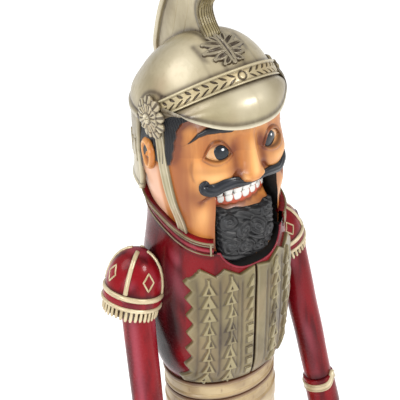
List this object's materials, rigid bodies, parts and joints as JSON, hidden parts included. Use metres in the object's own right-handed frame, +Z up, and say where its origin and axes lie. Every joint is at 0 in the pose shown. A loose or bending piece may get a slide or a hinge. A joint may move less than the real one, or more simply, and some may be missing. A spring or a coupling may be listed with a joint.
{
  "type": "nutcracker",
  "caption": "Standing soldier figure nutcracker in a crested helmet, whose bearded jaw is a lever worked by a handle down its back.",
  "frame": {"origin": "centre of the underside of the base", "axes": "+Z up; the figure faces -Y, so its right hand is on the -X side"},
  "size_m": [0.1468, 0.108, 0.4571],
  "materials": {
    "antique_gold": "antiqued champagne-gold paint",
    "crimson": "glossy crimson lacquer, darkened in the recesses",
    "gold_trim": "cream-gold paint",
    "teeth": "white gloss paint with red gums",
    "black_hair": "black paint with a soft gloss",
    "skin": "stained and lacquered wood with burnt shading",
    "cream": "cream paint with tan shading",
    "boot_black": "black gloss lacquer",
    "base_paint": "black lacquer with a gold line",
    "bare_wood": "bare beech",
    "pin_steel": "drawn wire"
  },
  "bodies": {
    "figure": {"arm_dowels": "bare_wood", "base_plinth": "base_paint", "boot_left": "boot_black", "boot_right": "boot_black", "breastplate_left": "antique_gold", "breastplate_right": "antique_gold", "chin_strap_left": "antique_gold", "chin_strap_right": "antique_gold", "collar_left": "crimson", "collar_right": "crimson", "cuff_left": "crimson", "cuff_right": "crimson", "ear_left": "skin", "ear_right": "skin", "hand_left": "skin", "hand_right": "skin", "head_block": "skin", "helmet_brow_band": "antique_gold", "helmet_comb": "antique_gold", "helmet_dome": "antique_gold", "helmet_emblem": "antique_gold", "helmet_nape_guard": "antique_gold", "helmet_visor": "antique_gold", "hip_block": "cream", "jaw_pin": "pin_steel", "leg_dowels": "bare_wood", "moustache": "black_hair", "neck_dowels": "bare_wood", "nose": "skin", "rosette_left": "antique_gold", "rosette_right": "antique_gold", "sash_lower": "cream", "sash_upper": "cream", "shoulder_cap_left": "crimson", "shoulder_cap_right": "crimson", "shoulder_fringe_left": "gold_trim", "shoulder_fringe_right": "gold_trim", "shoulder_trim_left": "gold_trim", "shoulder_trim_right": "gold_trim", "sleeve_left": "crimson", "sleeve_right": "crimson", "torso_block": "crimson", "trouser_leg_left": "cream", "trouser_leg_right": "cream", "upper_teeth": "teeth", "waist_block": "cream"},
    "jaw": {"jaw_lever": "skin", "lower_teeth": "teeth", "beard": "black_hair"}
  },
  "joints": [
    {"name": "jaw_hinge", "type": "hinge", "parent": "figure", "child": "jaw", "pos_m": [0, -0.002, 0.32], "axis": [1, 0, 0], "range_deg": [0, 24]}
  ]
}
